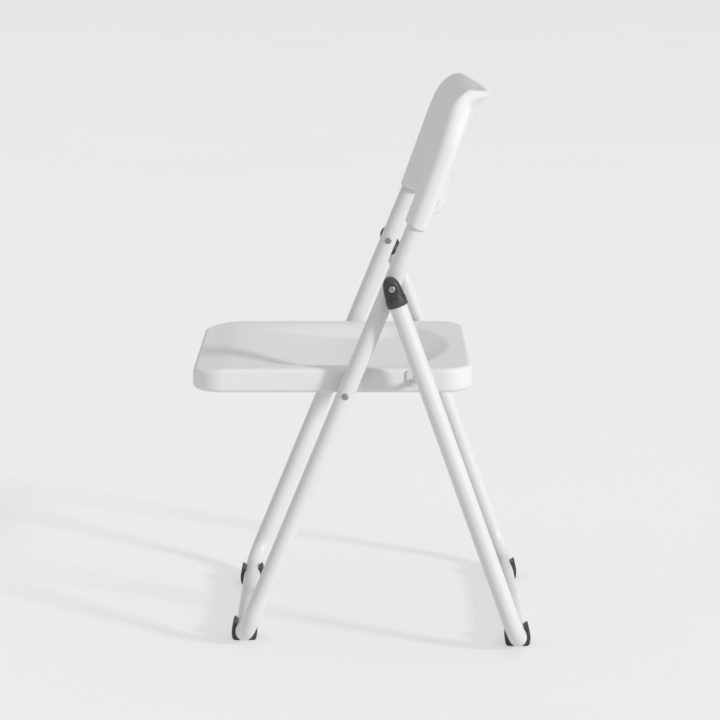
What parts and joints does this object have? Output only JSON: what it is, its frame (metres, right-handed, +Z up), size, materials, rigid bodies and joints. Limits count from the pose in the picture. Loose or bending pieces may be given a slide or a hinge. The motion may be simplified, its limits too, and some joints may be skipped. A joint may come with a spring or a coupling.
{
  "type": "folding chair",
  "caption": "Folding chair with bent steel tube front and rear frames, moulded seat hinged between the uprights, curved moulded backrest, pivot caps and floor glides.",
  "frame": {"origin": "bottom centre of the bounding box, on the floor, in the plane of symmetry", "axes": "+Z up, the chair's front faces -Y and its backrest is towards +Y, +X is the sitter's left"},
  "size_m": [0.5026, 0.4903, 0.8067],
  "materials": {
    "frame_paint": "satin white powder coat",
    "white_resin": "white moulded resin with a fine moulded texture",
    "black_resin": "black moulded plastic, satin",
    "zinc": "zinc plated steel"
  },
  "bodies": {
    "front_frame": {"front_frame_tube": "frame_paint", "backrest": "white_resin", "upright_end_plug_left": "black_resin", "upright_end_plug_right": "black_resin", "backrest_screw_left": "zinc", "backrest_screw_right": "zinc", "front_glide_left": "black_resin", "front_glide_right": "black_resin", "main_pivot_rivet_left": "zinc", "main_pivot_rivet_right": "zinc", "seat_pivot_rivet_left": "zinc", "seat_pivot_rivet_right": "zinc"},
    "rear_legs": {"rear_frame_tube": "frame_paint", "rear_leg_cap_left": "black_resin", "rear_leg_cap_right": "black_resin", "rear_glide_left": "black_resin", "rear_glide_right": "black_resin", "seat_rest_pin_left": "zinc", "seat_rest_pin_right": "zinc", "pivot_washer_left": "zinc", "pivot_washer_right": "zinc"},
    "seat": {"seat_shell": "white_resin", "blow_hole_plug": "white_resin", "seat_hinge_bracket_left": "frame_paint", "seat_hinge_bracket_right": "frame_paint", "seat_rest_plate_left": "frame_paint", "seat_rest_plate_right": "frame_paint", "seat_pivot_bush_left": "black_resin", "seat_pivot_bush_right": "black_resin", "hinge_bracket_screw_front_left": "zinc", "hinge_bracket_screw_front_right": "zinc", "hinge_bracket_screw_rear_left": "zinc", "hinge_bracket_screw_rear_right": "zinc", "rest_plate_screw_lower_left": "zinc", "rest_plate_screw_lower_right": "zinc", "rest_plate_screw_upper_left": "zinc", "rest_plate_screw_upper_right": "zinc"}
  },
  "joints": [
    {"name": "rear_leg_fold", "type": "hinge", "parent": "front_frame", "child": "rear_legs", "pos_m": [0, 0.0396, 0.5398], "axis": [1, 0, 0], "range_deg": [-34.5, 0]},
    {"name": "seat_fold", "type": "hinge", "parent": "front_frame", "child": "seat", "pos_m": [0, -0.02567, 0.38066], "axis": [1, 0, 0], "range_deg": [0, 64]}
  ],
  "couplings": [
    {"joint": "seat_fold", "follows": "rear_leg_fold", "ratio": -1.85}
  ]
}
